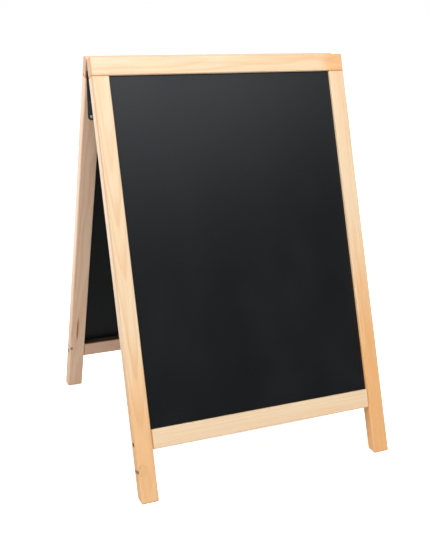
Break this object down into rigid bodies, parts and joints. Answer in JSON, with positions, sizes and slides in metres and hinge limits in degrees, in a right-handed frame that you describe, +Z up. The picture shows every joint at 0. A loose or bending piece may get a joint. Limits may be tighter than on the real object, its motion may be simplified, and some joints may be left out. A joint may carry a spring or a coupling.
{
  "type": "sandwich board",
  "caption": "Folding A-frame pavement sign: wooden frames with black writing panels, joined at the top by strap hinges, standing open on level-cut legs.",
  "frame": {"origin": "on the ground, midway between the four feet when the board stands open", "axes": "+X across the board to the right as seen from the front, +Y from the front frame to the rear frame, +Z up from the ground"},
  "size_m": [0.55, 0.5924, 0.8037],
  "materials": {
    "timber": "clear satin varnish on softwood",
    "dowel": "unfinished hardwood",
    "writing_panel": "matt black chalkboard paint on hardboard",
    "strap": "black lacquered steel",
    "bright_screw": "bright zinc plated",
    "dark_screw": "blackened steel"
  },
  "bodies": {
    "front_frame": {"front_top_rail": "timber", "front_bottom_rail": "timber", "front_left_stile": "timber", "front_right_stile": "timber", "front_panel": "writing_panel", "front_top_dowels": "dowel", "front_bottom_dowels": "dowel", "front_rail_screws": "dark_screw", "left_hinge_front_strap": "strap", "left_hinge_pin": "strap", "left_hinge_front_screws": "bright_screw", "right_hinge_front_strap": "strap", "right_hinge_pin": "strap", "right_hinge_front_screws": "bright_screw"},
    "rear_frame": {"rear_top_rail": "timber", "rear_bottom_rail": "timber", "rear_left_stile": "timber", "rear_right_stile": "timber", "rear_panel": "writing_panel", "rear_top_dowels": "dowel", "rear_bottom_dowels": "dowel", "rear_rail_screws": "dark_screw", "left_hinge_rear_strap": "strap", "left_hinge_rear_screws": "bright_screw", "right_hinge_rear_strap": "strap", "right_hinge_rear_screws": "bright_screw"}
  },
  "joints": [
    {"name": "fold", "type": "hinge", "parent": "front_frame", "child": "rear_frame", "pos_m": [0, 0, 0.78145], "axis": [-1, 0, 0], "range_deg": [0, 37.7]}
  ]
}
